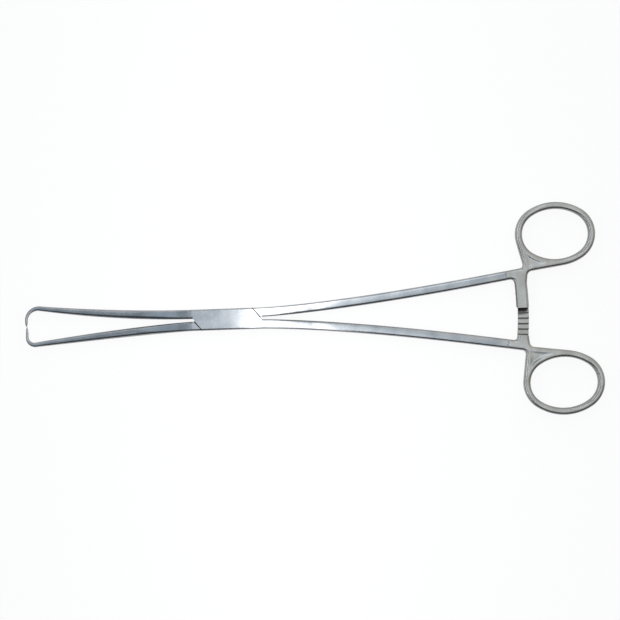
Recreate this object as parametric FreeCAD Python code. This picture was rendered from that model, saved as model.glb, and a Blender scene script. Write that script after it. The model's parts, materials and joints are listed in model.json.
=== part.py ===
import FreeCAD, Part
import math
import os

# Tenaculum forceps with a box lock: two forged halves crossing at one riveted pin.
# Lengths are millimetres and angles are degrees.
# The pin axis is Z and the lock's underside is z = 0. The finger rings lie towards +X.
# The box half has the jaw on the +Y side, and the tongue half passes through its slot.

# Lock
lock_half_length = 14.9
lock_height = 9.2
lock_thickness = 6.3
lock_edge_radius = 1.0
slot_thickness = 2.3
tongue_play = 0.05
tongue_width = 5.8
fork_gap = 1.2
shoulder_angle = 38.5
shoulder_distance = 11.2
shoulder_gap = 0.12

# Pin, pressed into the box half and ground flush on both sides
pin_diameter = 3.0
pin_play = 0.04

# Travel from the pose in which the hook points just meet
open_angle = 45.0
clicks_left = 3
stop_margin = 0.4

# Jaws; jaw_reach is how far the hooks' points lie from the pin
jaw_reach = 87.0
box_jaw_offset = 7.3
box_jaw_bow = 1.9
tongue_jaw_offset = 8.3
tongue_jaw_bow = 1.3
jaw_tip_height = 2.0
jaw_thickness = 4.2
jaw_tip_thickness = 2.4
jaw_round = 1.7

# Hooks, one sharp point on each jaw; the points pass side by side
box_hook_radius = 5.2
tongue_hook_radius = 3.3
hook_height = 1.15
hook_thickness = 1.3
point_size = 0.26
point_side_shift = 0.62
points_meet_y = -0.3
bend_stations = 4
arm_stations = 5

# Shanks, from the lock to the necks of the rings
shank_length = 112.0
shank_offset = 13.35
shank_bow = 1.4
shank_height = 4.05
shank_thickness = 4.2
shank_round = 1.2
root_blend = 24.0
neck_length = 17.4

# Finger rings: how far the centre is from the neck's end, and the inner half axes
box_ring_ahead = 15.6
box_ring_aside = 16.2
box_ring_half_length = 14.75
box_ring_half_width = 11.15
tongue_ring_ahead = 13.75
tongue_ring_aside = 16.1
tongue_ring_half_length = 14.45
tongue_ring_half_width = 11.0
ring_end_radius = 9.6
ring_rim = 3.0
ring_thickness = 4.3
ring_round = 1.25
ring_stations = 7
web_overlap = 0.15
notch_radius = 1.2

# Ratchet: two arms on arcs about the pin, one above the other, with facing teeth;
# the box half's arm lies a little further out
ratchet_setback = 2.38
tooth_pitch = 2.35
tooth_depth = 0.8
tooth_gap = 0.12
tooth_land = 0.1
tooth_back = 0.45
box_teeth = 7
tongue_teeth = 3
tooth_sink = 0.175
tongue_arm_width = 5.4
box_arm_width = 4.7
box_arm_shift = 0.45
tongue_arm_end = 0.7
root_reach = 2.6
root_flare = 0.7
root_relief = 0.5
inner_bevel = 0.55
outer_bevel = 1.1
arm_corner = 0.6

# Worked out from the sizes above
lock_half_height = lock_height / 2
mid_z = lock_thickness / 2
root_height = lock_half_height - fork_gap / 2
root_offset = lock_half_height - root_height / 2
neck_slope = (shank_offset - root_offset) * shank_bow / (shank_length - lock_half_length)
neck_turn = math.atan(neck_slope)
neck_end_x = shank_length + neck_length * math.cos(neck_turn)
neck_end_y = shank_offset + neck_length * math.sin(neck_turn)
ratchet_radius = math.hypot(neck_end_x, neck_end_y) - ratchet_setback
close_angle = math.degrees(clicks_left * tooth_pitch / ratchet_radius)
tongue_half_width = tongue_width / 2
fork_corner = math.hypot(lock_half_length, fork_gap / 2)
tongue_angle = math.degrees(
    math.asin(tongue_half_width / fork_corner)
    + math.atan2(fork_gap / 2, lock_half_length)
)
box_arm_end = tongue_arm_end + 2 * tooth_pitch
box_arm_radius = ratchet_radius + box_arm_shift
far = 4 * lock_half_length


def vec(x, y, z=0.0):
    return FreeCAD.Vector(x, y, z)


def polygon_prism(points, z_low, z_high):
    corners = [vec(x, y, z_low) for x, y in points]
    face = Part.Face(Part.makePolygon(corners + corners[:1]))
    return face.extrude(vec(0, 0, z_high - z_low))


def fuse_all(shapes):
    return shapes[0].multiFuse(shapes[1:]).removeSplitter()


# A rounded rectangle that stands across a path: height lies in the plan, thickness along Z
def section(x, y, z, heading, height, thickness, radius):
    angle = math.radians(heading)
    across = vec(-math.sin(angle), math.cos(angle))
    up = vec(0, 0, 1)
    centre = vec(x, y, z)
    reach = height / 2 - radius
    rise = thickness / 2 - radius
    corners = []
    for quarter, (side, level) in enumerate(((1, 1), (-1, 1), (-1, -1), (1, -1))):
        hub = centre + across * (side * reach) + up * (level * rise)
        turns = [math.radians(90 * quarter + step) for step in (0, 45, 90)]
        arc = [hub + across * (radius * math.cos(t)) + up * (radius * math.sin(t)) for t in turns]
        corners.append(arc)
    edges = []
    for here, after in zip(corners, corners[1:] + corners[:1]):
        edges.append(Part.Arc(*here).toShape())
        edges.append(Part.makeLine(here[2], after[0]))
    return Part.Wire(edges)


def loft(sections):
    return Part.makeLoft(sections, True, True)


# Smooth change from 0 to 1 with level ends
def ease(share):
    share = min(max(share, 0.0), 1.0)
    return share * share * (3 - 2 * share)


# Largest rounding that a section takes, kept under half of its smaller side
def limited(radius, height, thickness):
    return min(radius, 0.46 * min(height, thickness))


# Centreline of a jaw or shank in the first quadrant: it leaves the lock along X and bows outwards
def bowed_point(share, length, offset, bow):
    run = length - lock_half_length
    x = lock_half_length + run * share
    y = root_offset + (offset - root_offset) * share**bow
    slope = (offset - root_offset) * bow / run * share ** (bow - 1)
    return x, y, math.degrees(math.atan(slope))


# A jaw or shank as one loft along its centreline, from the lock's section to its own end section
def arm(length, offset, bow, end_height, mid_thickness, end_thickness, end_round):
    run = length - lock_half_length
    sections = []
    for step in range(arm_stations + 1):
        share = (step / arm_stations) ** 1.25
        x, y, heading = bowed_point(share, length, offset, bow)
        left_lock = ease(share * run / root_blend)
        height = root_height + (end_height - root_height) * share**2
        slim = mid_thickness + (end_thickness - mid_thickness) * share
        thickness = lock_thickness + (slim - lock_thickness) * left_lock
        rounding = lock_edge_radius + (end_round - lock_edge_radius) * left_lock
        rounding = limited(rounding, height, thickness)
        sections.append(section(x, y, mid_z, heading, height, thickness, rounding))
    return loft(sections)


# The hook at a jaw's end: a bend towards the other jaw, then a straight taper to the point
def hook(length, offset, bow, hook_radius, meet_y, side_shift):
    x, y, heading = bowed_point(1.0, length, offset, bow)
    turn = 90 + heading
    hub_angle = math.radians(heading)
    hub_x = x + hook_radius * math.sin(hub_angle)
    hub_y = y - hook_radius * math.cos(hub_angle)
    bend_run = math.radians(turn) * hook_radius
    straight_run = hub_y - meet_y
    total_run = bend_run + straight_run
    stops = [bend_run * step / bend_stations for step in range(bend_stations + 1)]
    stops += [bend_run + straight_run * step / 2 for step in (1, 2)]
    sections = []
    for stop in stops:
        bent = min(stop / bend_run, 1.0)
        here = heading - turn * bent
        at = math.radians(here)
        down = max(stop - bend_run, 0.0)
        share = stop / total_run
        if stop <= bend_run:
            height = jaw_tip_height + (hook_height - jaw_tip_height) * bent
            thickness = jaw_tip_thickness + (hook_thickness - jaw_tip_thickness) * bent
        else:
            height = hook_height + (point_size - hook_height) * down / straight_run
            thickness = hook_thickness + (point_size - hook_thickness) * down / straight_run
        place_x = hub_x - hook_radius * math.sin(at)
        place_y = hub_y + hook_radius * math.cos(at) - down
        place_z = mid_z + side_shift * ease(share)
        rounding = limited(jaw_round, height, thickness)
        sections.append(section(place_x, place_y, place_z, here, height, thickness, rounding))
    return loft(sections)


# A point on a circle round a hub, with the angle in radians
def on_circle(hub, radius, angle):
    return hub + vec(math.cos(angle), math.sin(angle)) * radius


def arc_edge(hub, radius, first, last):
    angles = (first, (first + last) / 2, last)
    return Part.Arc(*[on_circle(hub, radius, angle) for angle in angles]).toShape()


# The four arcs of a ring's oval as hub, radius and angles, from the lower side to the left end
def oval_arcs(ring_x, ring_y, half_length, half_width, rim):
    end_radius = ring_end_radius
    side_radius = (half_length**2 + half_width**2 - 2 * half_length * end_radius) / (
        2 * (half_width - end_radius)
    )
    shift = half_length - end_radius
    drop = side_radius - half_width
    join = math.atan2(drop, shift)
    hubs = (vec(0, drop), vec(shift, 0), vec(0, -drop), vec(-shift, 0))
    radii = (side_radius, end_radius, side_radius, end_radius)
    lasts = (-join, join, math.pi - join, math.pi + join)
    arcs = []
    first = join - math.pi
    for hub, radius, last in zip(hubs, radii, lasts):
        arcs.append((vec(ring_x, ring_y) + hub, radius + rim, first, last))
        first = last
    return arcs


# The angle on a circle where the tangent from a point outside touches it; side is +1 or -1
def tangent_angle(hub, radius, point, side):
    away = point - hub
    return math.atan2(away.y, away.x) + side * math.acos(radius / away.Length)


# A finger ring: one rounded section carried round its oval and closed on itself
def ring_loop(arcs):
    stations = []
    for hub, radius, first, last in arcs:
        for step in range(ring_stations):
            angle = first + (last - first) * step / ring_stations
            place = on_circle(hub, radius, angle)
            heading = math.degrees(angle) + 90
            band = (heading, ring_rim, ring_thickness, ring_round)
            stations.append(section(place.x, place.y, mid_z, *band))
    return Part.makeLoft(stations, True, True, True)


# The web from the neck's end to the ring: it runs in under the ring's rim on both sides
def web_outline(middle, corner, centre, arcs):
    lower, left = arcs[0], arcs[3]
    touch = lower[1] - web_overlap
    leave = on_circle(lower[0], touch, tangent_angle(lower[0], touch, middle, 1))
    touch = left[1] - web_overlap
    meet = on_circle(left[0], touch, tangent_angle(left[0], touch, corner, -1))
    return [(p.x, p.y) for p in (middle, leave, centre, meet, corner)]


def arc_x(radius, y):
    return math.sqrt(radius * radius - y * y)


# A band between two radii about the pin, between two heights above the long axis
def arc_band(inner, outer, y_low, y_high, z_low, z_high):
    def at(radius, y):
        return vec(arc_x(radius, y), y, z_low)

    y_mid = (y_low + y_high) / 2
    edges = [
        Part.Arc(at(inner, y_low), at(inner, y_mid), at(inner, y_high)).toShape(),
        Part.makeLine(at(inner, y_high), at(outer, y_high)),
        Part.Arc(at(outer, y_high), at(outer, y_mid), at(outer, y_low)).toShape(),
        Part.makeLine(at(outer, y_low), at(inner, y_low)),
    ]
    return Part.Face(Part.Wire(edges)).extrude(vec(0, 0, z_high - z_low))


def is_upright(edge):
    low, high = edge.BoundBox.ZMin, edge.BoundBox.ZMax
    flat = edge.BoundBox.XLength + edge.BoundBox.YLength
    return high - low > 1 and flat < 1e-4


# The neck, the web to the ring and the root of the ratchet arm as one plate with rounded edges
def neck_plate(oval, inner, outer):
    z_low = mid_z - shank_thickness / 2
    z_high = mid_z + shank_thickness / 2
    along = vec(math.cos(neck_turn), math.sin(neck_turn))
    across = vec(-along.y, along.x)
    start = vec(shank_length, shank_offset)
    end = vec(neck_end_x, neck_end_y)
    half = across * (shank_height / 2)
    strip = [start - half, end - half, end + half, start + half]
    neck = polygon_prism([(p.x, p.y) for p in strip], z_low, z_high)

    centre = vec(oval[0], oval[1])
    outline = web_outline(end, end + half, centre, oval_arcs(*oval, ring_rim))
    web = polygon_prism(outline, z_low, z_high)
    root_y = end.y - shank_height / 2 - root_reach
    root_top = end.y + shank_height / 4
    inner_x = arc_x(inner, root_y)
    outer_x = arc_x(outer, root_y)
    foot = [(inner_x, root_y), (outer_x, root_y)]
    head = [(outer_x + root_flare, root_top), (inner_x - root_flare, root_top)]
    root = polygon_prism(foot + head, z_low, z_high)
    plate = fuse_all([neck, web, root])

    notches = []
    for edge in plate.Edges:
        middle = edge.CenterOfMass
        near = math.hypot(middle.x - end.x, middle.y - end.y) < 2 * shank_height
        if is_upright(edge) and near and middle.y > root_y + 0.01:
            notches.append(edge)
    plate = plate.makeFillet(notch_radius, notches)

    rims = []
    for edge in plate.Edges:
        middle = edge.CenterOfMass
        from_start = middle - start
        on_joint = abs(from_start.x * along.x + from_start.y * along.y) < 0.01
        cut_end = abs(middle.y - root_y) < 0.01
        ends = [math.hypot(v.X - centre.x, v.Y - centre.y) for v in edge.Vertexes]
        level = edge.BoundBox.ZLength < 1e-4
        if level and min(ends) > 0.01 and not on_joint and not cut_end:
            rims.append(edge)
    plate = plate.makeFillet(shank_round, rims)

    within = Part.Wire([arc_edge(*arc) for arc in oval_arcs(*oval, ring_rim / 2)])
    core = Part.Face(within).extrude(vec(0, 0, lock_thickness))
    return plate.cut(core), root_y


# One saw tooth, steep on the side away from the arm's end; direction is +1 up or -1 down.
# It is sunk a little into the arm's body
def tooth(y_low, inner, outer, base_z, direction):
    centre_angle = math.degrees(y_low / ratchet_radius)
    peak_z = base_z + direction * tooth_depth
    sunk_z = base_z - direction * tooth_sink
    crest = tooth_pitch - tooth_back
    flank = [(0.0, sunk_z), (0.0, base_z), (crest - tooth_land, peak_z), (crest, peak_z)]
    profile = flank + [(tooth_pitch, base_z), (tooth_pitch, sunk_z)]
    corners = [vec(inner, s, z) for s, z in profile]
    face = Part.Face(Part.makePolygon(corners + corners[:1]))
    prism = face.extrude(vec(outer - inner, 0, 0))
    prism.rotate(vec(0, 0, 0), vec(0, 0, 1), centre_angle)
    return prism


# A toothed ratchet arm; side is +1 for the upper arm with teeth below, -1 for the lower arm
def ratchet_arm(end_y, root_y, inner, outer, teeth, side):
    surface_z = mid_z + side * shank_thickness / 2
    base_z = mid_z + side * (tooth_gap / 2 + tooth_depth)
    low, high = sorted((surface_z, base_z))
    body = arc_band(inner, outer, end_y, root_y + shank_round, low, high)
    for radius, bevel in ((inner, inner_bevel), (outer, outer_bevel)):
        ridges = []
        for edge in body.Edges:
            on_surface = abs(edge.CenterOfMass.z - surface_z) < 1e-4
            on_rim = abs(edge.firstVertex().Point.sub(vec(0, 0, surface_z)).Length - radius) < 1e-3
            if on_surface and on_rim and edge.BoundBox.YLength > tooth_pitch:
                ridges.append(edge)
        body = body.makeChamfer(bevel, ridges)
    solids = [body]
    for number in range(teeth):
        solids.append(tooth(end_y + number * tooth_pitch, inner, outer, base_z, -side))
    reach = (mid_z - lock_thickness, mid_z + lock_thickness)
    trimmer = arc_band(inner, outer, end_y, root_y + shank_round, *reach)
    corners = [e for e in trimmer.Edges if is_upright(e) and e.CenterOfMass.y < end_y + 0.01]
    return fuse_all(solids).common(trimmer.makeFillet(arm_corner, corners))


# The lock as a plain bar, from which each half takes its share
def lock_bar():
    wire = section(-lock_half_length, 0, mid_z, 0, lock_height, lock_thickness, lock_edge_radius)
    return Part.Face(wire).extrude(vec(2 * lock_half_length, 0, 0))


# Where the line at this direction and distance from the pin crosses a height y
def line_x(normal_angle, distance, y):
    angle = math.radians(normal_angle)
    return (distance - y * math.sin(angle)) / math.cos(angle)


# Plan outline of the box: it ends in a slanting shoulder at each side of the tongue half
def box_outline():
    gap = fork_gap / 2
    edge = lock_half_height + lock_edge_radius
    half = [
        (lock_half_length, -edge),
        (lock_half_length, -gap),
        (line_x(shoulder_angle, shoulder_distance, -gap), -gap),
        (line_x(shoulder_angle, shoulder_distance, edge), edge),
    ]
    return half + [(-x, -y) for x, y in half]


# The wall that closes the slot on one side: between the tongue's two end positions
def slot_wall(turn):
    offset = tongue_half_width + tongue_play
    shut = math.radians(tongue_angle - close_angle - stop_margin)
    wide = math.radians(tongue_angle + open_angle + stop_margin)
    half_sweep = (wide - shut) / 2
    middle = (wide + shut) / 2 + math.pi / 2
    apex_distance = offset / math.cos(half_sweep)
    apex = vec(apex_distance * math.cos(middle), apex_distance * math.sin(middle))
    along_shut = vec(-math.cos(shut), -math.sin(shut)) * far
    along_wide = vec(math.cos(wide), math.sin(wide)) * far
    points = [apex, apex + along_shut, apex + (along_shut + along_wide), apex + along_wide]
    wall = polygon_prism([(p.x, p.y) for p in points], -lock_thickness, 2 * lock_thickness)
    wall.rotate(vec(0, 0, 0), vec(0, 0, 1), turn)
    return wall


def make_box_lock():
    body = lock_bar().common(polygon_prism(box_outline(), -1, lock_thickness + 1))
    half_slot = slot_thickness / 2
    slot = Part.makeBox(
        2 * far, 2 * far, slot_thickness, vec(-far, -far, mid_z - half_slot)
    )
    for turn in (0, 180):
        slot = slot.cut(slot_wall(turn))
    return body.cut(slot)


def make_tongue_lock():
    gap = fork_gap / 2
    slope = math.tan(math.radians(tongue_angle))
    edge = lock_half_height + lock_edge_radius
    normal = shoulder_angle + close_angle
    distance = shoulder_distance + shoulder_gap
    # where the straight flank of the tongue meets the shoulder
    angle = math.radians(normal)
    meet_x = (distance - (gap - slope * lock_half_length) * math.sin(angle)) / (
        math.cos(angle) + slope * math.sin(angle)
    )
    meet_y = gap + slope * (meet_x - lock_half_length)
    shoulder = [
        (lock_half_length, gap),
        (lock_half_length, edge),
        (line_x(normal, distance, edge), edge),
        (meet_x, meet_y),
    ]
    low = mid_z - slot_thickness / 2 + tongue_play
    high = mid_z + slot_thickness / 2 - tongue_play
    flank_x = lock_half_length - (gap + lock_half_height) / slope
    half = [
        (lock_half_length, gap),
        (lock_half_length, lock_half_height),
        (-flank_x, lock_half_height),
    ]
    bar = lock_bar()
    tongue = polygon_prism(half + [(-x, -y) for x, y in half], low, high)
    right = bar.common(polygon_prism(shoulder, -1, lock_thickness + 1))
    left = bar.common(polygon_prism([(-x, -y) for x, y in shoulder], -1, lock_thickness + 1))
    return [left, tongue, right]


def pin_hole(radius):
    return Part.makeCylinder(radius, lock_thickness + 2, vec(0, 0, -1))


def mirrored(shape, across_x, across_y):
    if across_x:
        shape = shape.mirror(vec(0, 0, 0), vec(1, 0, 0))
    if across_y:
        shape = shape.mirror(vec(0, 0, 0), vec(0, 1, 0))
    return shape


# A jaw: its bar ends where the bend of the hook has to begin for the point to lie at jaw_reach
def jaw(offset, bow, hook_radius, meet_y, side_shift):
    run = jaw_reach - hook_radius - lock_half_length
    heading = math.atan((offset - root_offset) * bow / run)
    length = jaw_reach - hook_radius * (1 + math.sin(heading))
    bar = arm(length, offset, bow, jaw_tip_height, jaw_thickness, jaw_tip_thickness, jaw_round)
    return [bar, hook(length, offset, bow, hook_radius, meet_y, side_shift)]


def shank():
    return arm(
        shank_length,
        shank_offset,
        shank_bow,
        shank_height,
        shank_thickness,
        shank_thickness,
        shank_round,
    )


# A handle: shank, ring and ratchet arm; mate_end is where the other half's arm ends, seen from here
def handle(oval, end_y, mate_end, radius, width, teeth, side):
    inner, outer = radius - width / 2, radius + width / 2
    ring = ring_loop(oval_arcs(*oval, ring_rim / 2))
    plate, root_y = neck_plate(oval, inner, outer)
    relief_y = mate_end + clicks_left * tooth_pitch + root_relief
    relief_z = mid_z - lock_thickness if side > 0 else mid_z
    block = vec(ratchet_radius - width, 0, relief_z)
    relief = Part.makeBox(2 * width, relief_y, lock_thickness, block)
    arm_solid = ratchet_arm(end_y, root_y, inner, outer, teeth, side)
    return [shank(), ring, plate.cut(relief), arm_solid]


def make_box_half():
    centre = (neck_end_x + box_ring_ahead, neck_end_y + box_ring_aside)
    oval = (*centre, box_ring_half_length, box_ring_half_width)
    arm_sizes = (box_arm_radius, box_arm_width, box_teeth)
    handle_parts = handle(oval, -box_arm_end, -tongue_arm_end, *arm_sizes, -1)
    jaw_parts = jaw(
        box_jaw_offset, box_jaw_bow, box_hook_radius, points_meet_y, point_side_shift
    )
    parts = [make_box_lock()]
    parts += [mirrored(p, True, False) for p in jaw_parts]
    parts += [mirrored(p, False, True) for p in handle_parts]
    return fuse_all(parts).cut(pin_hole(pin_diameter / 2))


def make_tongue_half():
    centre = (neck_end_x + tongue_ring_ahead, neck_end_y + tongue_ring_aside)
    oval = (*centre, tongue_ring_half_length, tongue_ring_half_width)
    parts = make_tongue_lock()
    jaw_parts = jaw(
        tongue_jaw_offset, tongue_jaw_bow, tongue_hook_radius, -points_meet_y, -point_side_shift
    )
    parts += [mirrored(p, True, True) for p in jaw_parts]
    arm_sizes = (ratchet_radius, tongue_arm_width, tongue_teeth)
    parts += handle(oval, tongue_arm_end, box_arm_end, *arm_sizes, 1)
    return fuse_all(parts).cut(pin_hole(pin_diameter / 2 + pin_play))


def make_pin():
    return Part.makeCylinder(pin_diameter / 2, lock_thickness, vec(0, 0, 0))


nodes = {
    "box_half": make_box_half(),
    "tongue_half": make_tongue_half(),
    "joint_pin": make_pin(),
}
os.makedirs("parts", exist_ok=True)
for name, shape in nodes.items():
    solids = shape.Solids
    print(name, "solids", len(solids), "valid", shape.isValid(), "volume", round(shape.Volume, 1))
    body = solids[0] if len(solids) == 1 else shape
    body.exportStep("parts/" + name + ".step")
print("travel", round(-close_angle, 2), "to", open_angle)
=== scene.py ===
import json
import math
import bpy
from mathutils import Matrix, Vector

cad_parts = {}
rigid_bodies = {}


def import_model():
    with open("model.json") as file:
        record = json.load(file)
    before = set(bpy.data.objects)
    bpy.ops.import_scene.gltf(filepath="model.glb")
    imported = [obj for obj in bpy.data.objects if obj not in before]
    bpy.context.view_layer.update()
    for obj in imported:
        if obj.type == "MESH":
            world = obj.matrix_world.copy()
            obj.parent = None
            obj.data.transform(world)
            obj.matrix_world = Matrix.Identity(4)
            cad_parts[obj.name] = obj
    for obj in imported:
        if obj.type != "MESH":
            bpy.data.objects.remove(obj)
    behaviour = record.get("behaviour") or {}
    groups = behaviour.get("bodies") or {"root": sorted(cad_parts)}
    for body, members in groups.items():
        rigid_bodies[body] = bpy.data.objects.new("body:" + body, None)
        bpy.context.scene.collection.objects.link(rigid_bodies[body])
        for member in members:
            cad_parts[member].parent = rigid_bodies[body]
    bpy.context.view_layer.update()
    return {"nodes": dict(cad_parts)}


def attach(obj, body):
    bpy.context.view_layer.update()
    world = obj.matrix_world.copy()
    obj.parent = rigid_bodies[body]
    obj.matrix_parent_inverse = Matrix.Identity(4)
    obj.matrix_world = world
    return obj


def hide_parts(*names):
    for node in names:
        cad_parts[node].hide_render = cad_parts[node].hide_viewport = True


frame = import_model()
origin = (0, 0, 0)
mm = 0.001  # pieces are modelled in millimetres and brought to metres when they are finished

# One steel runs through the whole instrument, so all pieces share these; its warm copy paints in
# the warmer reflection of the rings and toothed arms, and its dark copy paints shade
finish = {
    "steel": (0.63, 0.64, 0.655),
    "steelDeep": (0.50, 0.515, 0.54),
    # the warm colours paint in the warmer reflection that the rings and the toothed arms show
    "steelPaintedWarmReflection": (0.65, 0.64, 0.62),
    "deepPaintedWarmReflection": (0.53, 0.52, 0.50),
    # the two darkest colours are painted shade, for the lock's gap and between the ratchet's teeth
    "paintedShade": (0.22, 0.225, 0.23),
    "paintedShadeDeep": (0.15, 0.155, 0.16),
    "roughness": 0.14,
    "ringRoughness": 0.2,
    "innerRoughness": 0.45,
    "polishSpread": (-0.02, 0.05),
    "grainSize": 900,
    "grainStretch": (0.12, 1.0, 1.0),  # lines run along X
    "grainDepth": 0.012,
    "grainReach": 0.00005,
    "cloudSize": 160,
    "cloudEdges": (0.35, 0.62),
}

# Lock and the plain sizes that the arms start from
lock = {
    "halfLength": 14.9,
    "height": 9.2,
    "thickness": 6.3,
    "rounding": 1.0,
    "gap": 1.2,
    "slot": 2.3,
    "edgeBevel": 0.1,
    "levelShare": 0.006,  # of each arm, beside the lock
    "crowding": 1.25,  # the arms' sections stand closer together near the lock
}
midZ = lock["thickness"] / 2
rootHeight = lock["height"] / 2 - lock["gap"] / 2
rootOffset = lock["height"] / 2 - rootHeight / 2


def clearSelection():
    bpy.ops.object.select_all(action="DESELECT")


def turn(angle, axis, centre=origin):
    # with no window the operator turns the other way
    bpy.ops.transform.rotate(value=-angle, orient_axis=axis, center_override=centre)


def resize(x, y, z):
    bpy.ops.transform.resize(value=(x, y, z), center_override=origin)


def move(x, y, z):
    bpy.ops.transform.translate(value=(x, y, z))


def startPiece(name):
    # an empty mesh, open in edit mode
    clearSelection()
    bpy.ops.mesh.primitive_plane_add(size=2)
    piece = bpy.context.object
    piece.name = piece.data.name = name
    bpy.ops.object.mode_set(mode="EDIT")
    bpy.ops.mesh.delete(type="VERT")
    return piece


def endPiece(piece, flipX, flipY):
    # into its own quarter of the plan, faces outwards, and down to metres
    bpy.ops.mesh.select_all(action="SELECT")
    resize(-1 if flipX else 1, -1 if flipY else 1, 1)
    bpy.ops.mesh.normals_make_consistent(inside=False)
    resize(mm, mm, mm)
    bpy.ops.object.mode_set(mode="OBJECT")
    return piece


def addSection(x, y, heading, height, thickness, rounding, z=midZ):
    # a rounded rectangle of edges, standing across a path that runs along heading
    bpy.ops.mesh.select_all(action="DESELECT")
    bpy.ops.mesh.primitive_plane_add(size=2, location=origin)
    resize(height / 2, thickness / 2, 1)
    bpy.ops.mesh.bevel(offset=rounding, segments=5, affect="VERTICES")
    turn(math.pi / 2, "X")
    turn(math.radians(heading) - math.pi / 2, "Z")
    move(x, y, z)
    bpy.ops.mesh.delete(type="ONLY_FACE")


def loftSections(cuts):
    # skins all sections in one go and closes both ends
    bpy.ops.mesh.select_all(action="SELECT")
    bpy.ops.mesh.bridge_edge_loops(number_cuts=cuts, interpolation="PATH", smoothness=1)
    bpy.ops.mesh.select_all(action="DESELECT")
    bpy.ops.mesh.select_non_manifold()
    bpy.ops.mesh.edge_face_add()


def ease(share):
    share = min(max(share, 0.0), 1.0)
    return share * share * (3 - 2 * share)


def between(a, b, share):
    return a + (b - a) * share


def fullest(height, thickness):
    # the largest rounding that still leaves a narrow flat on each side
    return 0.46 * min(height, thickness)


def bowedPoint(share, arm):
    # centreline of an arm in the first quarter: it leaves the lock along X and bows outwards
    run = arm["length"] - lock["halfLength"]
    rise = arm["offset"] - rootOffset
    slope = rise * arm["bow"] / run * share ** (arm["bow"] - 1)
    x = lock["halfLength"] + run * share
    y = rootOffset + rise * share ** arm["bow"]
    return x, y, math.degrees(math.atan(slope))


def addArmSections(arm, stations):
    # the short first stretch keeps the arm level where it leaves the lock
    run = arm["length"] - lock["halfLength"]
    shares = [(step / stations) ** lock["crowding"] for step in range(1, stations + 1)]
    for share in [0.0, lock["levelShare"]] + shares:
        x, y, heading = bowedPoint(share, arm)
        blended = ease(share * run / arm["blend"])
        height = between(rootHeight, arm["endHeight"], share**2)
        slim = between(arm["thickness"], arm["endThickness"], share)
        thickness = between(lock["thickness"], slim, blended)
        rounding = between(lock["rounding"], arm["rounding"], blended)
        rounding = min(rounding, fullest(height, thickness))
        addSection(x, y, heading, height, thickness, rounding)


# Jaws with their hooks
boxJaw = {
    "reach": 86.99, "offset": 7.3, "bow": 1.9, "blend": 24.0,
    "endHeight": 2.0, "thickness": 4.2, "endThickness": 2.4, "rounding": 1.7,
    "hookRadius": 5.2, "hookHeight": 1.15, "hookThickness": 1.3,
    "point": 0.26, "sideShift": 0.62, "meetY": -0.3,
    "stations": 14, "bendSteps": 12, "pointShares": (0.35, 0.7, 0.85, 0.94, 1.0), "cuts": 2,
}
tongueJaw = dict(boxJaw, offset=8.3, bow=1.3, hookRadius=3.3, sideShift=-0.62, meetY=0.3)


def barLength(jaw):
    # the bar ends where the hook has to begin bending for its point to lie at reach
    run = jaw["reach"] - jaw["hookRadius"] - lock["halfLength"]
    heading = math.atan((jaw["offset"] - rootOffset) * jaw["bow"] / run)
    return jaw["reach"] - jaw["hookRadius"] * (1 + math.sin(heading))


def makeJaw(name, jaw, flipY):
    jaw["length"] = barLength(jaw)
    piece = startPiece(name)
    addArmSections(jaw, jaw["stations"])
    x, y, heading = bowedPoint(1.0, jaw)
    radius = jaw["hookRadius"]
    hubX = x + radius * math.sin(math.radians(heading))
    hubY = y - radius * math.cos(math.radians(heading))
    turnBack = 90 + heading
    bendRun = math.radians(turnBack) * radius
    straightRun = hubY - jaw["meetY"]

    def addHookSection(x, y, heading, height, thickness, along):
        # the farther along from the bar, the farther the hook lies off the middle plane
        z = midZ + jaw["sideShift"] * ease(along / (bendRun + straightRun))
        addSection(x, y, heading, height, thickness, fullest(height, thickness), z)

    for step in range(1, jaw["bendSteps"] + 1):
        share = step / jaw["bendSteps"]
        here = heading - turnBack * share
        height = between(jaw["endHeight"], jaw["hookHeight"], share)
        thickness = between(jaw["endThickness"], jaw["hookThickness"], share)
        placeX = hubX - radius * math.sin(math.radians(here))
        placeY = hubY + radius * math.cos(math.radians(here))
        addHookSection(placeX, placeY, here, height, thickness, bendRun * share)
    # towards the point it thins steadily in depth, but keeps its breadth until near the end
    for share in jaw["pointShares"]:
        height = between(jaw["hookHeight"], jaw["point"], share**3)
        thickness = between(jaw["hookThickness"], jaw["point"], share)
        placeY = hubY - straightRun * share
        along = bendRun + straightRun * share
        addHookSection(hubX + radius, placeY, -90, height, thickness, along)
    loftSections(jaw["cuts"])
    return endPiece(piece, True, flipY)


# Shanks run on into the necks of the rings and end inside them
shank = {
    "length": 112.0, "offset": 13.35, "bow": 1.4, "blend": 24.0,
    "endHeight": 4.05, "thickness": 4.2, "endThickness": 4.2, "rounding": 1.2,
    "neck": 17.4, "meet": 9.0,  # length of the neck, and where the ring's own piece begins on it
    "tail": ((12.5, 1.0), (8.5, 1.0), (8.0, 0.8)),  # places before the neck's end, and sizes there
    "stations": 16, "cuts": 2,
}
neckTurn = math.radians(bowedPoint(1.0, shank)[2])
neckWay = Vector((math.cos(neckTurn), math.sin(neckTurn), 0))
neckSide = Vector((-neckWay.y, neckWay.x, 0))
neckEnd = Vector((shank["length"], shank["offset"], 0)) + neckWay * shank["neck"]


def makeShank(name, flipY):
    piece = startPiece(name)
    addArmSections(shank, shank["stations"])
    bar = (shank["endHeight"], shank["endThickness"], shank["rounding"])
    for back, share in shank["tail"]:
        place = neckEnd - neckWay * back
        addSection(place.x, place.y, math.degrees(neckTurn), *[size * share for size in bar])
    loftSections(shank["cuts"])
    return endPiece(piece, False, flipY)


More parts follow.
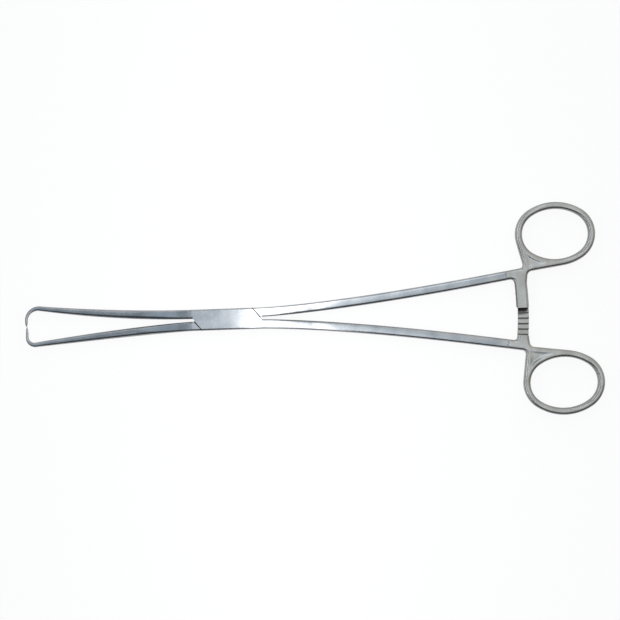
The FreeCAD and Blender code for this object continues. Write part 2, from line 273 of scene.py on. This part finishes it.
# Finger rings with the web and the root of the ratchet arm
ring = {
    "endRadius": 9.6, "rim": 3.0, "thickness": 4.35, "rounding": 1.3, "spinStep": 6,
    "drawnIn": 0.12,  # keeps the round outside within the facets of the solid's
    "webThickness": 3.75, "notch": 1.5, "rootReach": 2.6, "rootFlare": 0.7,
    "inset": 0.02, "plateReach": 3.6,
    "limbSlim": 0.82, "limbGrown": 3.0, "limbBacks": (-1.0, 1.6), "limbCuts": 8, "webSteps": 8,
    "voxel": 0.2, "softening": 0.5, "smoothing": 26,
    "relief": 0.0, "reliefCeiling": 0.02,
    "armBack": 2.38,  # the toothed arms' middle, before the neck's end as seen from the pin
}
boxRing = dict(
    ring, ahead=15.6, aside=16.2, halfLength=14.75, halfWidth=11.15, armWidth=4.7, armShift=0.45,
)
# the box half's arm swings in under this root, up to the height in the plan that relief gives
tongueRing = dict(
    ring, ahead=13.75, aside=16.1, halfLength=14.45, halfWidth=11.0, armWidth=5.4, armShift=0.0,
    relief=12.95,
)
ratchetRadius = neckEnd.length - ring["armBack"]
rootY = neckEnd.y - shank["endHeight"] / 2 - ring["rootReach"]


def ovalArcs(piece):
    # the four arcs of the band's middle line: hub, radius and angles, from the lower side round
    long, wide, end = piece["halfLength"], piece["halfWidth"], piece["endRadius"]
    sideRadius = (long**2 + wide**2 - 2 * long * end) / (2 * (wide - end))
    shift, drop = long - end, sideRadius - wide
    join = math.atan2(drop, shift)
    centre = neckEnd + Vector((piece["ahead"], piece["aside"], 0))
    hubs = ((0, drop), (shift, 0), (0, -drop), (-shift, 0))
    radii = (sideRadius, end, sideRadius, end)
    lasts = (-join, join, math.pi - join, math.pi + join)
    arcs = []
    first = join - math.pi
    outward = piece["rim"] / 2 - piece["drawnIn"]
    for (x, y), radius, last in zip(hubs, radii, lasts):
        arcs.append((centre + Vector((x, y, 0)), radius + outward, first, last))
        first = last
    return arcs


def around(angle):
    return Vector((math.cos(angle), math.sin(angle), 0))


def tangentAngle(hub, radius, point, side):
    # where a line from the point touches the circle
    away = point - hub
    return math.atan2(away.y, away.x) + side * math.acos(radius / away.length)


def crossing(pointA, wayA, pointB, wayB):
    # where two lines in the plan meet
    spread = wayA.x * wayB.y - wayA.y * wayB.x
    gap = pointB - pointA
    return pointA + wayA * ((gap.x * wayB.y - gap.y * wayB.x) / spread)


def penStart(place):
    # one vertex that the next lines and arcs pull along
    bpy.ops.mesh.select_all(action="DESELECT")
    bpy.ops.mesh.primitive_plane_add(size=0.2, location=place)
    bpy.ops.mesh.merge(type="CENTER")


def pull(way):
    bpy.ops.mesh.extrude_region_move(TRANSFORM_OT_translate={"value": way})


def penArc(hub, sweep, steps):
    # spin turns clockwise for a positive angle
    bpy.ops.mesh.spin(steps=steps, angle=-sweep, center=hub, axis=(0, 0, 1))


def drawPlate(corners, lowZ, highZ, rounded, notch):
    # an outline with some corners rounded, pulled up to a plate; all its rims but the foot's are
    # rounded like the shank
    low = [Vector((p.x, p.y, lowZ)) for p in corners]
    penStart(low[0])
    for here, after in zip(low, low[1:]):
        pull(after - here)
    bpy.ops.mesh.select_linked()
    bpy.ops.mesh.edge_face_add()
    piece = bpy.context.object
    bpy.ops.object.mode_set(mode="OBJECT")
    for vertex in piece.data.vertices:
        near = [p for p in rounded if (vertex.co - Vector((p.x, p.y, lowZ))).length < 1e-3]
        vertex.select = bool(near)
    for group in (piece.data.edges, piece.data.polygons):
        for item in group:
            item.select = False
    bpy.ops.object.mode_set(mode="EDIT")
    bpy.ops.mesh.bevel(offset=notch, segments=6, affect="VERTICES")
    bpy.ops.mesh.select_linked()
    pull((0, 0, highZ - lowZ))
    bpy.ops.mesh.select_mode(type="EDGE")
    bpy.ops.mesh.select_all(action="DESELECT")
    bpy.ops.object.mode_set(mode="OBJECT")
    for edge in piece.data.edges:
        a, b = [piece.data.vertices[index].co for index in edge.vertices]
        edge.select = abs(a.z - b.z) < 1e-3 and max(a.y, b.y) > rootY + 0.01
    bpy.ops.object.mode_set(mode="EDIT")
    bpy.ops.mesh.bevel(offset=shank["rounding"], segments=4, affect="EDGES")
    bpy.ops.mesh.select_mode(type="VERT")


def relieveRoot(obj, piece):
    # the lower half of the root is milled away for the end of the other arm
    clearSelection()
    size = (2 * piece["armWidth"], piece["relief"], lock["thickness"])
    place = (ratchetRadius, size[1] / 2, midZ + piece["reliefCeiling"] - size[2] / 2)
    bpy.ops.mesh.primitive_cube_add(size=1, location=place)
    cutter = bpy.context.object
    bpy.ops.object.mode_set(mode="EDIT")
    bpy.ops.transform.resize(value=size, center_override=place)
    bpy.ops.object.mode_set(mode="OBJECT")
    clearSelection()
    obj.select_set(True)
    bpy.context.view_layer.objects.active = obj
    milled = obj.modifiers.new("milled", "BOOLEAN")
    milled.operation = "DIFFERENCE"
    milled.object = cutter
    bpy.ops.object.modifier_apply(modifier="milled")
    bpy.data.objects.remove(cutter)


def makeBand(name, arcs, band):
    # the ring itself, one section spun round the four hubs
    piece = startPiece(name)
    hub, radius, first, last = arcs[0]
    begin = hub + around(first) * radius
    addSection(begin.x, begin.y, math.degrees(first) + 90, *band)
    bpy.ops.mesh.select_all(action="SELECT")
    for hub, radius, first, last in arcs:
        steps = round((last - first) / math.radians(ring["spinStep"]))
        centre = (hub.x, hub.y, midZ)
        bpy.ops.mesh.spin(steps=steps, angle=first - last, center=centre, axis=(0, 0, 1))
    bpy.ops.mesh.select_all(action="SELECT")
    bpy.ops.mesh.remove_doubles(threshold=0.01)
    bpy.ops.object.mode_set(mode="OBJECT")
    return piece


def makeLimb(name, start, arc, angle, back, band):
    # a limb from the neck into the ring; it grows out of the plate, so its first section is
    # slimmer and lies inside
    piece = startPiece(name)
    target = arc[0] + around(angle) * arc[1]
    begin = start - around(angle) * (ring["rim"] / 2)
    way = (target - begin).normalized()
    heading = math.degrees(math.atan2(way.y, way.x))
    places = (begin - way * back, begin + way * ring["limbGrown"], target)
    for place, share in zip(places, (ring["limbSlim"], 1.0, 1.0)):
        addSection(place.x, place.y, heading, *[size * share for size in band])
    loftSections(ring["limbCuts"])
    bpy.ops.object.mode_set(mode="OBJECT")
    return piece


def makeWeb(name, lower, left, lowAngle, leftAngle):
    # the thinner web between the limbs and the ring
    piece = startPiece(name)
    flat = Vector((0, 0, midZ - ring["webThickness"] / 2))
    penStart(lower[0] + around(lowAngle) * lower[1] + flat)
    penArc(lower[0] + flat, lower[2] - lowAngle, ring["webSteps"])
    penArc(left[0] + flat, (leftAngle % (2 * math.pi)) - left[3], ring["webSteps"])
    pull(neckEnd - (left[0] + around(leftAngle) * left[1]))
    bpy.ops.mesh.select_all(action="SELECT")
    bpy.ops.mesh.edge_face_add()
    pull((0, 0, ring["webThickness"]))
    bpy.ops.object.mode_set(mode="OBJECT")
    return piece


def makeRoot(name, piece, corner, outerLow, outerLeft):
    # the neck's end and the root that carries the ratchet arm
    plate = startPiece(name)
    stripHalf = shank["endHeight"] / 2 - piece["inset"]
    lowNeck = neckEnd - neckSide * stripHalf
    rootTop = neckEnd.y + shank["endHeight"] / 4
    armRadius = ratchetRadius + piece["armShift"]
    footIn, footOut = [
        Vector((math.sqrt((armRadius + s * piece["armWidth"] / 2) ** 2 - rootY**2), rootY, 0))
        for s in (-1, 1)
    ]
    headIn = Vector((footIn.x - piece["rootFlare"], rootTop, 0))
    headOut = Vector((footOut.x + piece["rootFlare"], rootTop, 0))
    innerNotch = crossing(lowNeck, neckWay, footIn, headIn - footIn)
    outerNotch = crossing(neckEnd, outerLow - neckEnd, footOut, headOut - footOut)
    outline = [
        neckEnd - neckWay * shank["meet"] + neckSide * stripHalf,
        neckEnd - neckWay * shank["meet"] - neckSide * stripHalf,
        innerNotch,
        footIn,
        footOut,
        outerNotch,
        outerNotch + (outerLow - neckEnd).normalized() * piece["plateReach"],
        corner + (outerLeft - corner).normalized() * piece["plateReach"],
        corner,
    ]
    lowPlate = midZ - shank["endThickness"] / 2 + piece["inset"]
    highPlate = midZ + shank["endThickness"] / 2 - piece["inset"]
    drawPlate(outline, lowPlate, highPlate, (innerNotch, outerNotch, corner), piece["notch"])
    bpy.ops.object.mode_set(mode="OBJECT")
    return plate


def makeRing(name, piece, flipY):
    arcs = ovalArcs(piece)
    lower, left = arcs[0], arcs[3]
    half = piece["rim"] / 2
    band = (piece["rim"], piece["thickness"], piece["rounding"])
    corner = neckEnd + neckSide * (shank["endHeight"] / 2)
    lowAngle = tangentAngle(lower[0], lower[1] + half, neckEnd, 1)
    leftAngle = tangentAngle(left[0], left[1] + half, corner, -1)
    outerLow = lower[0] + around(lowAngle) * (lower[1] + half)
    outerLeft = left[0] + around(leftAngle) * (left[1] + half)
    lowBack, leftBack = piece["limbBacks"]

    obj = makeBand(name, arcs, band)
    others = [
        makeWeb(name + "Web", lower, left, lowAngle, leftAngle),
        makeRoot(name + "Root", piece, corner, outerLow, outerLeft),
        makeLimb(name + "LowLimb", neckEnd, lower, lowAngle, lowBack, band),
        makeLimb(name + "LeftLimb", corner, left, leftAngle, leftBack, band),
    ]

    # one forging: the pieces grow together and their corners soften
    clearSelection()
    for part in [obj] + others:
        part.select_set(True)
    bpy.context.view_layer.objects.active = obj
    bpy.ops.object.join()
    bpy.ops.object.mode_set(mode="EDIT")
    bpy.ops.mesh.select_all(action="SELECT")
    bpy.ops.mesh.normals_make_consistent(inside=False)
    bpy.ops.object.mode_set(mode="OBJECT")
    grown = obj.modifiers.new("grown", "REMESH")
    grown.mode = "VOXEL"
    grown.voxel_size = piece["voxel"]
    soft = obj.modifiers.new("soft", "SMOOTH")
    soft.factor = piece["softening"]
    soft.iterations = piece["smoothing"]
    for modifier in ("grown", "soft"):
        bpy.ops.object.modifier_apply(modifier=modifier)
    if piece["relief"]:
        relieveRoot(obj, piece)
    bpy.ops.object.mode_set(mode="EDIT")
    return endPiece(obj, False, flipY)


# The lock and the toothed arms keep the solids' own sharp forms, cut from a merged copy
ratchet = {
    "edgeBevel": 0.06,
    "startX": 118.0,
    "overlap": 0.7,  # how far the arm reaches up over the root's foot
}
sharpAngle = math.radians(32)
flatAngle = math.radians(1.2)  # facets that differ by less become one flat face


def cutCopy(name, node, cuts, bevel):
    piece = bpy.data.objects.new(name, frame["nodes"][node].data.copy())
    bpy.context.scene.collection.objects.link(piece)
    clearSelection()
    piece.select_set(True)
    bpy.context.view_layer.objects.active = piece
    bpy.ops.object.mode_set(mode="EDIT")
    bpy.ops.mesh.select_all(action="SELECT")
    bpy.ops.mesh.remove_doubles(threshold=1e-6)
    for place, normal in cuts:
        bpy.ops.mesh.select_all(action="SELECT")
        co = [value * mm for value in place]
        bpy.ops.mesh.bisect(plane_co=co, plane_no=normal, clear_outer=True, threshold=1e-7)
    bpy.ops.mesh.select_all(action="SELECT")
    bpy.ops.mesh.dissolve_limited(angle_limit=flatAngle)
    bpy.ops.object.mode_set(mode="OBJECT")
    edges = piece.modifiers.new("edges", "BEVEL")
    edges.width = bevel * mm
    edges.segments = 2
    edges.limit_method = "ANGLE"
    edges.angle_limit = sharpAngle
    edges.use_clamp_overlap = True
    edges.miter_outer = "MITER_ARC"
    bpy.ops.object.modifier_apply(modifier="edges")
    bpy.ops.object.mode_set(mode="EDIT")
    bpy.ops.mesh.select_all(action="DESELECT")
    bpy.ops.mesh.select_non_manifold()
    bpy.ops.mesh.edge_face_add()
    bpy.ops.mesh.select_all(action="SELECT")
    bpy.ops.mesh.normals_make_consistent(inside=False)
    bpy.ops.object.mode_set(mode="OBJECT")
    return piece


lockCuts = [((s * lock["halfLength"], 0, 0), (s, 0, 0)) for s in (-1, 1)]
armEdge = rootY + ratchet["overlap"]
armCuts = [((ratchet["startX"], 0, 0), (-1, 0, 0))]
armCuts += [((0, s * armEdge, 0), (0, s, 0)) for s in (1, -1)]


def smooth(piece, sharpForms):
    clearSelection()
    piece.select_set(True)
    bpy.context.view_layer.objects.active = piece
    bpy.ops.object.shade_smooth_by_angle(angle=sharpAngle)
    if not sharpForms:
        return
    # broad flat faces keep their own normal, so the small roundings beside them stay small
    weigh = piece.modifiers.new("weigh", "WEIGHTED_NORMAL")
    weigh.keep_sharp = True
    weigh.weight = 80
    bpy.ops.object.modifier_apply(modifier="weigh")


print("modelling the jaws")
pieces = {}
pieces["boxJaw"] = makeJaw("boxJaw", boxJaw, False)
pieces["tongueJaw"] = makeJaw("tongueJaw", tongueJaw, True)
print("modelling the shanks")
pieces["boxShank"] = makeShank("boxShank", True)
pieces["tongueShank"] = makeShank("tongueShank", False)
print("modelling the rings")
pieces["boxRing"] = makeRing("boxRing", boxRing, True)
pieces["tongueRing"] = makeRing("tongueRing", tongueRing, False)
print("cutting the lock and the ratchet")
pieces["boxLock"] = cutCopy("boxLock", "box_half", lockCuts, lock["edgeBevel"])
pieces["tongueLock"] = cutCopy("tongueLock", "tongue_half", lockCuts, lock["edgeBevel"])
pieces["boxRatchet"] = cutCopy("boxRatchet", "box_half", armCuts, ratchet["edgeBevel"])
pieces["tongueRatchet"] = cutCopy("tongueRatchet", "tongue_half", armCuts, ratchet["edgeBevel"])
for name, piece in pieces.items():
    smooth(piece, name.endswith(("Lock", "Ratchet")))
    print(piece.name, len(piece.data.polygons), "faces")


# Shared effects for the steel
def makeGrainGroup():
    # fine polishing lines along X, and slow cloudy change of the finish
    group = bpy.data.node_groups.new("polishingGrain", "ShaderNodeTree")
    group.interface.new_socket("Size", in_out="INPUT", socket_type="NodeSocketFloat")
    group.interface.new_socket("Lines", in_out="OUTPUT", socket_type="NodeSocketFloat")
    group.interface.new_socket("Clouds", in_out="OUTPUT", socket_type="NodeSocketFloat")
    nodes, links = group.nodes, group.links
    inlet = nodes.new("NodeGroupInput")
    outlet = nodes.new("NodeGroupOutput")
    place = nodes.new("ShaderNodeTexCoord")
    stretch = nodes.new("ShaderNodeMapping")
    stretch.inputs["Scale"].default_value = finish["grainStretch"]
    lines = nodes.new("ShaderNodeTexNoise")
    lines.inputs["Detail"].default_value = 2
    clouds = nodes.new("ShaderNodeTexNoise")
    clouds.inputs["Scale"].default_value = finish["cloudSize"]
    clouds.inputs["Detail"].default_value = 3
    links.new(place.outputs["Object"], stretch.inputs["Vector"])
    links.new(stretch.outputs["Vector"], lines.inputs["Vector"])
    links.new(inlet.outputs["Size"], lines.inputs["Scale"])
    links.new(place.outputs["Object"], clouds.inputs["Vector"])
    links.new(lines.outputs["Fac"], outlet.inputs["Lines"])
    links.new(clouds.outputs["Fac"], outlet.inputs["Clouds"])
    return group


grainGroup = makeGrainGroup()


def ramp(nodes, stops):
    node = nodes.new("ShaderNodeValToRGB")
    elements = node.color_ramp.elements
    for element, (place, colour) in zip(elements, (stops[0], stops[-1])):
        element.position = place
        element.color = (*colour, 1)
    for place, colour in stops[1:-1]:
        elements.new(place).color = (*colour, 1)
    return node


def makeSteel(name, light, deep, roughness):
    material = bpy.data.materials.new(name)
    material.use_nodes = True
    nodes, links = material.node_tree.nodes, material.node_tree.links
    shader = nodes["Principled BSDF"]
    shader.inputs["Metallic"].default_value = 1.0
    effects = nodes.new("ShaderNodeGroup")
    effects.node_tree = grainGroup
    effects.inputs["Size"].default_value = finish["grainSize"]
    tint = ramp(nodes, list(zip(finish["cloudEdges"], (finish[deep], finish[light]))))
    links.new(effects.outputs["Clouds"], tint.inputs["Fac"])
    links.new(tint.outputs["Color"], shader.inputs["Base Color"])
    polish = nodes.new("ShaderNodeMapRange")
    smoother, rougher = finish["polishSpread"]
    polish.inputs["To Min"].default_value = finish[roughness] + smoother
    polish.inputs["To Max"].default_value = finish[roughness] + rougher
    links.new(effects.outputs["Lines"], polish.inputs["Value"])
    links.new(polish.outputs["Result"], shader.inputs["Roughness"])
    bump = nodes.new("ShaderNodeBump")
    bump.inputs["Strength"].default_value = finish["grainDepth"]
    bump.inputs["Distance"].default_value = finish["grainReach"]
    links.new(effects.outputs["Lines"], bump.inputs["Height"])
    links.new(bump.outputs["Normal"], shader.inputs["Normal"])
    return material


coolSteel = makeSteel("coolSteel", "steel", "steelDeep", "roughness")
steelPaintedWarmReflection = makeSteel("steelPaintedWarmReflection", "steelPaintedWarmReflection", "deepPaintedWarmReflection", "ringRoughness")
# painted shade: a dark, rough copy of the steel for the lock's gap and the teeth's steep backs
paintedShadeSteel = makeSteel("paintedShadeSteel", "paintedShade", "paintedShadeDeep", "innerRoughness")

# Faces painted dark as shade, picked by their place in millimetres and their slope; they are also
# left rough
paintedShadeFaces = {
    "slotMargin": 0.05,
    "edgeMargin": 0.1,
    "uprightBelow": 0.2,  # upward part of the normal
    "toothUp": (0.4, 0.6),  # upward part of the normal on the steep back of a tooth
    "toothAcross": 0.7,
}


def paintShadeInLock(piece):
    # the faces that slide on each other inside the lock are painted dark as the shade in its gap;
    # they are also left rough, unpolished
    piece.data.materials.append(paintedShadeSteel)
    for face in piece.data.polygons:
        x, y, z = face.center / mm
        sunk = abs(z - midZ) < lock["slot"] / 2 + paintedShadeFaces["slotMargin"]
        upright = abs(face.normal.z) < paintedShadeFaces["uprightBelow"]
        insideX = abs(x) < lock["halfLength"] - paintedShadeFaces["edgeMargin"]
        insideY = abs(y) < lock["height"] / 2 - paintedShadeFaces["edgeMargin"]
        if insideX and insideY and (sunk or upright):
            face.material_index = 1


def paintShadeOnTeeth(piece):
    # the steep backs of the teeth are painted dark as the shade between the teeth
    piece.data.materials.append(paintedShadeSteel)
    least, most = paintedShadeFaces["toothUp"]
    for face in piece.data.polygons:
        if least < abs(face.normal.z) < most and abs(face.normal.y) > paintedShadeFaces["toothAcross"]:
            face.material_index = 1


for name, piece in pieces.items():
    piece.data.materials.clear()
    # the rings and toothed arms take the steel with the painted warm reflection
    piece.data.materials.append(steelPaintedWarmReflection if name.endswith(("Ring", "Ratchet")) else coolSteel)
    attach(piece, "box_side" if name.startswith("box") else "tongue_side")
    # painted shade inside the lock's gap and on the teeth's steep backs
    if name.endswith("Lock"):
        paintShadeInLock(piece)
    if name.endswith("Ratchet"):
        paintShadeOnTeeth(piece)
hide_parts("box_half")
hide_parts("tongue_half")
pin = frame["nodes"]["joint_pin"]
pin.data.materials.clear()
pin.data.materials.append(coolSteel)

# Floor, light and camera
print("setting the stage")
stage = {
    "floorSize": 6.0,
    "floorDrop": 0.0001,
    "floorColour": (0.8, 0.8, 0.8),
    "floorRoughness": 0.9,
    "glow": 1.13,
    "glowForCamera": 0.8,
    "glowForSteel": 0.15,
    "scale": 0.0004331,  # metres in a pixel of the picture
    "pixels": 620,
    "middle": (0.03584, 0.00278),
    "tilt": 1.93,
    "lens": 100.0,
    "sensor": 36.0,
}
clearSelection()
bpy.ops.mesh.primitive_grid_add(
    x_subdivisions=8, y_subdivisions=8,
    size=stage["floorSize"], location=(0, 0, -stage["floorDrop"]),
)
floor = bpy.context.object
floor.name = "floor"
paper = bpy.data.materials.new("whitePaper")
paper.use_nodes = True
nodes, links = paper.node_tree.nodes, paper.node_tree.links
shader = nodes["Principled BSDF"]
shader.inputs["Base Color"].default_value = (*stage["floorColour"], 1)
shader.inputs["Roughness"].default_value = stage["floorRoughness"]
# white to the camera, and seen by the steel mostly as it is lit, with its shadows
glow = nodes.new("ShaderNodeEmission")
glow.inputs["Strength"].default_value = stage["glow"]
rays = nodes.new("ShaderNodeLightPath")
glossyShare = nodes.new("ShaderNodeMath")
glossyShare.operation = "MULTIPLY"
glossyShare.inputs[1].default_value = stage["glowForSteel"]
cameraShare = nodes.new("ShaderNodeMath")
cameraShare.operation = "MULTIPLY_ADD"
cameraShare.inputs[1].default_value = stage["glowForCamera"]
mix = nodes.new("ShaderNodeMixShader")
links.new(rays.outputs["Is Glossy Ray"], glossyShare.inputs[0])
links.new(rays.outputs["Is Camera Ray"], cameraShare.inputs[0])
links.new(glossyShare.outputs["Value"], cameraShare.inputs[2])
links.new(cameraShare.outputs["Value"], mix.inputs["Fac"])
links.new(shader.outputs["BSDF"], mix.inputs[1])
links.new(glow.outputs["Emission"], mix.inputs[2])
links.new(mix.outputs["Shader"], nodes["Material Output"].inputs["Surface"])
floor.data.materials.append(paper)

# The room that the steel mirrors: darker towards the front, lighter towards the back, and
# overhead a cool grey on the hooks' side that brightens to white over the lock
room = {
    "strength": 2.0,
    "reach": 0.2,  # sideways part of the direction at the ramp's two ends
    "low": 0.60, "high": 0.95,  # upward part of the direction where walls end and ceiling begins
    "lean": 0.25,  # how much sooner the ceiling ends in front than behind
    "ceiling": [
        (0.00, (0.40, 0.49, 0.57)),
        (0.03, (0.33, 0.40, 0.47)),
        (0.07, (0.20, 0.21, 0.22)),
        (0.12, (0.27, 0.29, 0.30)),
        (0.18, (0.20, 0.25, 0.29)),
        (0.28, (0.24, 0.30, 0.36)),
        (0.34, (0.27, 0.33, 0.39)),
        (0.376, (0.85, 0.99, 1.11)),
        (0.395, (1.70, 1.75, 1.80)),
        (0.52, (1.50, 1.55, 1.60)),
        (0.56, (0.82, 0.92, 1.04)),
        (0.64, (0.60, 0.68, 0.74)),
        (0.68, (0.42, 0.48, 0.51)),
        (0.76, (0.48, 0.55, 0.59)),
        (0.80, (0.72, 0.78, 0.80)),
        (1.00, (0.66, 0.65, 0.62)),
    ],
    "walls": [
        (0.00, (0.04, 0.043, 0.047)),
        (0.30, (0.10, 0.104, 0.11)),
        (0.46, (0.28, 0.285, 0.28)),
        (0.70, (0.44, 0.45, 0.45)),
        (1.00, (0.60, 0.61, 0.61)),
    ],
}
world = bpy.data.worlds.new("studio")
bpy.context.scene.world = world
world.use_nodes = True
nodes, links = world.node_tree.nodes, world.node_tree.links
nodes.clear()


def spread(source, low, high):
    node = nodes.new("ShaderNodeMapRange")
    node.inputs["From Min"].default_value = low
    node.inputs["From Max"].default_value = high
    links.new(source, node.inputs["Value"])
    return node.outputs["Result"]


def roomRamp(source, stops):
    # the ramp holds shares of the room's strength, because it stops at 1
    shares = [(at, [value / room["strength"] for value in colour]) for at, colour in stops]
    node = ramp(nodes, shares)
    links.new(source, node.inputs["Fac"])
    return node.outputs["Color"]


place = nodes.new("ShaderNodeTexCoord")
split = nodes.new("ShaderNodeSeparateXYZ")
links.new(place.outputs["Generated"], split.inputs["Vector"])
ceiling = roomRamp(spread(split.outputs["X"], -room["reach"], room["reach"]), room["ceiling"])
walls = roomRamp(spread(split.outputs["Y"], -1, 1), room["walls"])
height = nodes.new("ShaderNodeMath")
height.operation = "MULTIPLY_ADD"
height.inputs[1].default_value = room["lean"]
links.new(split.outputs["Y"], height.inputs[0])
links.new(split.outputs["Z"], height.inputs[2])
blend = nodes.new("ShaderNodeMix")
blend.data_type = "RGBA"
links.new(spread(height.outputs["Value"], room["low"], room["high"]), blend.inputs["Factor"])
links.new(walls, blend.inputs["A"])
links.new(ceiling, blend.inputs["B"])
mirrored = nodes.new("ShaderNodeBackground")
mirrored.inputs["Strength"].default_value = room["strength"]
links.new(blend.outputs["Result"], mirrored.inputs["Color"])
white = nodes.new("ShaderNodeBackground")
rays = nodes.new("ShaderNodeLightPath")
mix = nodes.new("ShaderNodeMixShader")
links.new(rays.outputs["Is Camera Ray"], mix.inputs["Fac"])
links.new(mirrored.outputs["Background"], mix.inputs[1])
links.new(white.outputs["Background"], mix.inputs[2])
worldOut = nodes.new("ShaderNodeOutputWorld")
links.new(mix.outputs["Shader"], worldOut.inputs["Surface"])

# A small softbox close over the lock and the start of the shanks
softbox = {"middle": (0.0235, 0.0), "size": (0.041, 0.34), "height": 0.103, "brightness": 1.7}
clearSelection()
bpy.ops.object.light_add(type="AREA", location=(*softbox["middle"], softbox["height"]))
lamp = bpy.context.object
lamp.name = "softbox"
lamp.data.shape = "RECTANGLE"
lamp.data.size, lamp.data.size_y = softbox["size"]
lamp.data.energy = softbox["brightness"] * math.pi * lamp.data.size * lamp.data.size_y
lamp.visible_camera = False

frameWidth = stage["scale"] * stage["pixels"]
distance = stage["lens"] / stage["sensor"] * frameWidth
bpy.ops.object.camera_add(
    location=(*stage["middle"], distance + midZ * mm),
    rotation=(0, 0, -math.radians(stage["tilt"])),
)
camera = bpy.context.object
camera.data.lens = stage["lens"]
camera.data.sensor_width = stage["sensor"]
camera.data.clip_start = 0.01
bpy.context.scene.camera = camera
bpy.context.scene.view_settings.view_transform = "Standard"
